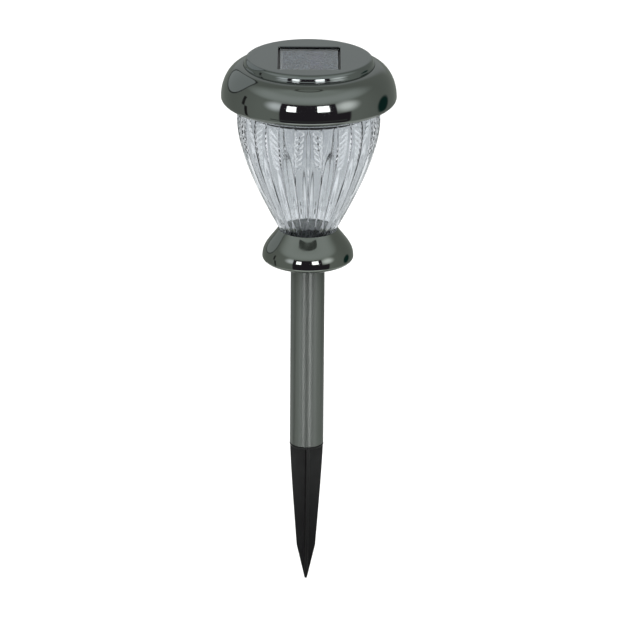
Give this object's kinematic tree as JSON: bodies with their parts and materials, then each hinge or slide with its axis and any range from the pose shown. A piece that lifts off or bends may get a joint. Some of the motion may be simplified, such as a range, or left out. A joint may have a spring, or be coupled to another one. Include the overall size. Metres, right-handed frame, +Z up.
{
  "type": "solar garden light",
  "caption": "Stake-mounted solar garden light: round plated cap with a solar panel twists off a clear fluted lens on a bell collar, tube post and black ground stake.",
  "frame": {"origin": "on the post's axis at soil level, the underside of the stake's flange", "axes": "+Z up along the post; -Y is the front, the side that faces the viewer; the panel's cell strips run along Y"},
  "size_m": [0.1272, 0.1272, 0.411],
  "materials": {
    "plated_shell": "moulded plastic with black-nickel mirror plating",
    "post_metal": "satin grey-green metal tube",
    "clear_lens": "clear moulded plastic with cut-glass pattern",
    "black_plastic": "moulded",
    "stake_plastic": "satin moulded, lightly scuffed",
    "panel_cover": "clear gloss",
    "solar_cell": "dark silicon with fine grid lines",
    "circuit_board": "green solder mask",
    "rubber": "matt",
    "zinc_steel": "zinc plated",
    "bright_metal": "bright reflector",
    "copper_winding": "enamelled copper wire on a ferrite core",
    "battery_wrap": "plain shrink wrap over steel",
    "led_epoxy": "clear epoxy",
    "red_insulation": "gloss insulation"
  },
  "bodies": {
    "stake": {"stake": "stake_plastic"},
    "post": {"post_tube": "post_metal"},
    "head": {"tube_adaptor": "black_plastic", "collar": "plated_shell", "lens": "clear_lens", "lens_washer": "rubber", "centre_screw": "zinc_steel"},
    "seal": {"lens_gasket": "rubber"},
    "cap": {"cap_ring": "plated_shell", "top_plate": "plated_shell", "panel_frame": "black_plastic", "panel_backing": "circuit_board", "panel_cell_1": "solar_cell", "panel_cell_2": "solar_cell", "panel_cell_3": "solar_cell", "panel_cell_4": "solar_cell", "panel_cover": "panel_cover", "module_housing": "black_plastic", "module_cover": "black_plastic", "cover_screw_1": "zinc_steel", "cover_screw_2": "zinc_steel", "cover_screw_3": "zinc_steel", "circuit_board": "circuit_board", "board_screw_1": "zinc_steel", "board_screw_2": "zinc_steel", "driver_chip": "black_plastic", "inductor": "copper_winding", "led": "led_epoxy", "led_reflector": "bright_metal", "switch_body": "zinc_steel", "battery": "battery_wrap", "battery_spring": "zinc_steel", "battery_contact_plate": "zinc_steel", "panel_wire_red": "red_insulation", "panel_wire_black": "rubber", "battery_wire_red": "red_insulation", "battery_wire_black": "rubber"},
    "battery_lid": {"battery_door": "black_plastic", "battery_door_screw": "zinc_steel"},
    "switch_knob": {"switch_slider": "black_plastic"}
  },
  "joints": [
    {"name": "post_lift", "type": "slide", "parent": "stake", "child": "post", "axis": [0, 0, 1], "range_m": [0, 0.035]},
    {"name": "head_lift", "type": "slide", "parent": "post", "child": "head", "axis": [0, 0, 1], "range_m": [0, 0.02]},
    {"name": "cap_lift", "type": "slide", "parent": "head", "child": "seal", "axis": [0, 0, 1], "range_m": [0, 0.06]},
    {"name": "cap_twist", "type": "hinge", "parent": "seal", "child": "cap", "pos_m": [0, 0, 0.2755], "axis": [0, 0, 1], "range_deg": [-20, 0]},
    {"name": "battery_lid_hinge", "type": "hinge", "parent": "cap", "child": "battery_lid", "pos_m": [-0.0317, 0.018, 0.25965], "axis": [0, 1, 0], "range_deg": [0, 40]},
    {"name": "switch_slide", "type": "slide", "parent": "cap", "child": "switch_knob", "axis": [1, 0, 0], "range_m": [0, 0.0025]}
  ]
}
